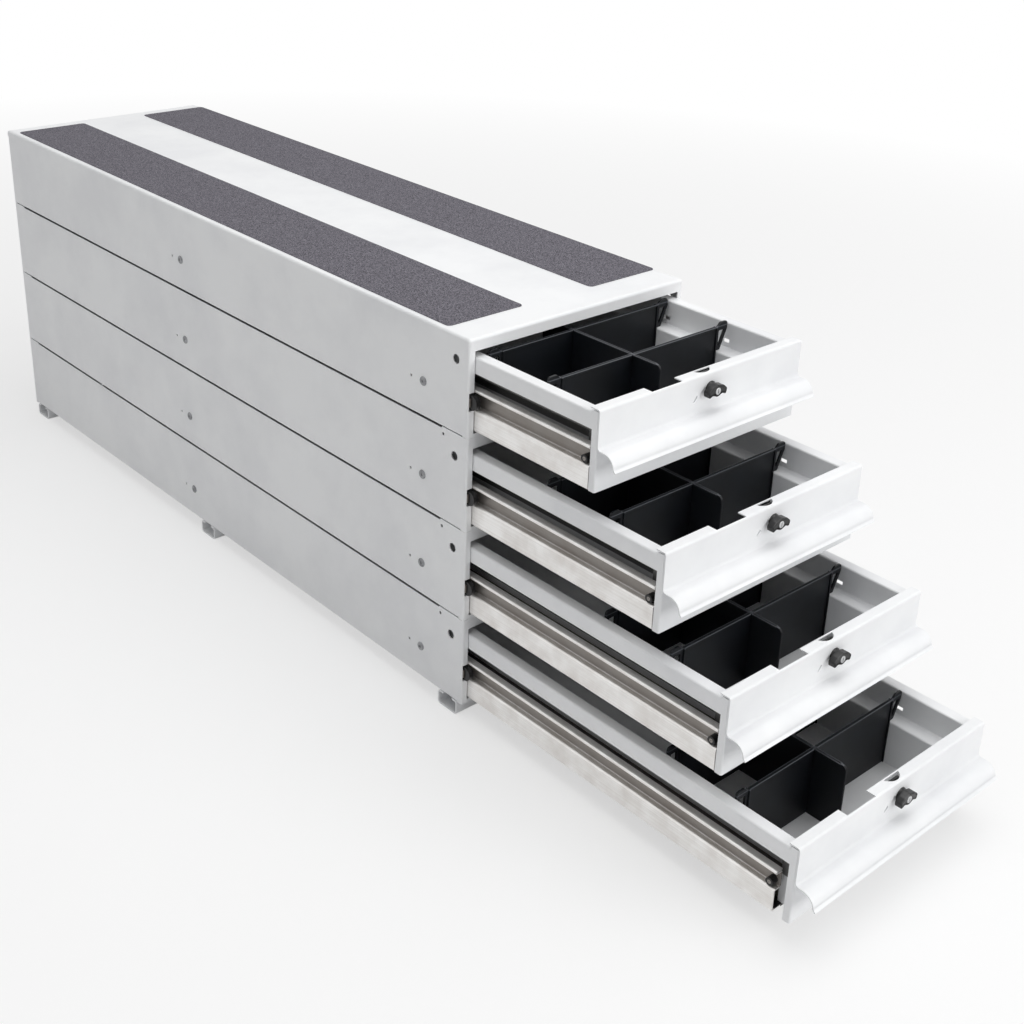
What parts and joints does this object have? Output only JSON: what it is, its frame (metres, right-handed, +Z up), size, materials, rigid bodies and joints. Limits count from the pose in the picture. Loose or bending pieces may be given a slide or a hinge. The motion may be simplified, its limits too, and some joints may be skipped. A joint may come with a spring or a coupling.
{
  "type": "van drawer unit",
  "caption": "Long low steel drawer unit for a van or truck floor: stacked tiers, full-length drawers with hood pulls, thumb-turn latches, dividers and telescopic slides.",
  "frame": {"origin": "on the floor, at the centre of the four outer floor bolts (middle of the carcass in X and Y)", "axes": "+Z up; -Y the way the drawers open; X across the drawer fronts; the pictured long side is -X"},
  "size_m": [0.368, 1.7742, 0.5259],
  "materials": {
    "white_paint": "smooth white powder coat on folded sheet steel",
    "zinc_plate": "dull zinc-plated rolled steel",
    "black_nylon": "black moulded nylon",
    "black_plastic": "black moulded divider plastic, fine grain",
    "grip_tape": "dark grey mineral-coated anti-slip tape",
    "latch_black": "satin black moulded thumb turn"
  },
  "bodies": {
    "cabinet": {"top_plate": "white_paint", "tier_shell_1": "white_paint", "tier_shell_2": "white_paint", "tier_shell_3": "white_paint", "tier_shell_4": "white_paint", "cross_rail_1": "white_paint", "cross_rail_2": "white_paint", "cross_rail_3": "white_paint", "rear_panel": "white_paint", "front_foot": "white_paint", "middle_foot": "white_paint", "rear_foot": "white_paint", "left_grip_strip": "grip_tape", "right_grip_strip": "grip_tape", "fixed_rails_1": "zinc_plate", "fixed_rails_2": "zinc_plate", "fixed_rails_3": "zinc_plate", "fixed_rails_4": "zinc_plate", "guide_blocks": "black_nylon", "slide_screws": "zinc_plate"},
    "slides_1": {"left_slide_1": "zinc_plate", "right_slide_1": "zinc_plate", "slide_glides_1": "black_nylon"},
    "drawer_1": {"drawer_tray_1": "white_paint", "drawer_front_1": "white_paint", "drawer_runners_1": "zinc_plate", "cross_dividers_1": "black_plastic", "long_divider_1": "black_plastic"},
    "latch_knob_1": {"latch_knob_1": "latch_black"},
    "latch_bolt_1": {"latch_bolt_1": "latch_black"},
    "slides_2": {"left_slide_2": "zinc_plate", "right_slide_2": "zinc_plate", "slide_glides_2": "black_nylon"},
    "drawer_2": {"drawer_tray_2": "white_paint", "drawer_front_2": "white_paint", "drawer_runners_2": "zinc_plate", "cross_dividers_2": "black_plastic", "long_divider_2": "black_plastic"},
    "latch_knob_2": {"latch_knob_2": "latch_black"},
    "latch_bolt_2": {"latch_bolt_2": "latch_black"},
    "slides_3": {"left_slide_3": "zinc_plate", "right_slide_3": "zinc_plate", "slide_glides_3": "black_nylon"},
    "drawer_3": {"drawer_tray_3": "white_paint", "drawer_front_3": "white_paint", "drawer_runners_3": "zinc_plate", "cross_dividers_3": "black_plastic", "long_divider_3": "black_plastic"},
    "latch_knob_3": {"latch_knob_3": "latch_black"},
    "latch_bolt_3": {"latch_bolt_3": "latch_black"},
    "slides_4": {"left_slide_4": "zinc_plate", "right_slide_4": "zinc_plate", "slide_glides_4": "black_nylon"},
    "drawer_4": {"drawer_tray_4": "white_paint", "drawer_front_4": "white_paint", "drawer_runners_4": "zinc_plate", "cross_dividers_4": "black_plastic", "long_divider_4": "black_plastic"},
    "latch_knob_4": {"latch_knob_4": "latch_black"},
    "latch_bolt_4": {"latch_bolt_4": "latch_black"}
  },
  "joints": [
    {"name": "slides_1_travel", "type": "slide", "parent": "cabinet", "child": "slides_1", "axis": [0, -1, 0], "range_m": [-0.203, 0.309]},
    {"name": "drawer_1_travel", "type": "slide", "parent": "slides_1", "child": "drawer_1", "axis": [0, -1, 0], "range_m": [0, 0.52]},
    {"name": "latch_knob_1_turn", "type": "hinge", "parent": "drawer_1", "child": "latch_knob_1", "pos_m": [0.008, -0.814, 0.486], "axis": [0, 1, 0], "range_deg": [0, 60]},
    {"name": "latch_bolt_1_lift", "type": "slide", "parent": "drawer_1", "child": "latch_bolt_1", "axis": [0, 0, 1], "range_m": [0, 0.009]},
    {"name": "slides_2_travel", "type": "slide", "parent": "cabinet", "child": "slides_2", "axis": [0, -1, 0], "range_m": [-0.312, 0.2]},
    {"name": "drawer_2_travel", "type": "slide", "parent": "slides_2", "child": "drawer_2", "axis": [0, -1, 0], "range_m": [0, 0.52]},
    {"name": "latch_knob_2_turn", "type": "hinge", "parent": "drawer_2", "child": "latch_knob_2", "pos_m": [0.008, -0.923, 0.36], "axis": [0, 1, 0], "range_deg": [0, 60]},
    {"name": "latch_bolt_2_lift", "type": "slide", "parent": "drawer_2", "child": "latch_bolt_2", "axis": [0, 0, 1], "range_m": [0, 0.009]},
    {"name": "slides_3_travel", "type": "slide", "parent": "cabinet", "child": "slides_3", "axis": [0, -1, 0], "range_m": [-0.416, 0.096]},
    {"name": "drawer_3_travel", "type": "slide", "parent": "slides_3", "child": "drawer_3", "axis": [0, -1, 0], "range_m": [0, 0.52]},
    {"name": "latch_knob_3_turn", "type": "hinge", "parent": "drawer_3", "child": "latch_knob_3", "pos_m": [0.008, -1.027, 0.234], "axis": [0, 1, 0], "range_deg": [0, 60]},
    {"name": "latch_bolt_3_lift", "type": "slide", "parent": "drawer_3", "child": "latch_bolt_3", "axis": [0, 0, 1], "range_m": [0, 0.009]},
    {"name": "slides_4_travel", "type": "slide", "parent": "cabinet", "child": "slides_4", "axis": [0, -1, 0], "range_m": [-0.512, 0]},
    {"name": "drawer_4_travel", "type": "slide", "parent": "slides_4", "child": "drawer_4", "axis": [0, -1, 0], "range_m": [-0.013, 0.507]},
    {"name": "latch_knob_4_turn", "type": "hinge", "parent": "drawer_4", "child": "latch_knob_4", "pos_m": [0.008, -1.136, 0.108], "axis": [0, 1, 0], "range_deg": [0, 60]},
    {"name": "latch_bolt_4_lift", "type": "slide", "parent": "drawer_4", "child": "latch_bolt_4", "axis": [0, 0, 1], "range_m": [0, 0.009]}
  ],
  "couplings": [
    {"joint": "latch_knob_1_turn", "follows": "latch_bolt_1_lift", "rad_per_m": 116.3},
    {"joint": "latch_knob_2_turn", "follows": "latch_bolt_2_lift", "rad_per_m": 116.3},
    {"joint": "latch_knob_3_turn", "follows": "latch_bolt_3_lift", "rad_per_m": 116.3},
    {"joint": "latch_knob_4_turn", "follows": "latch_bolt_4_lift", "rad_per_m": 116.3}
  ]
}
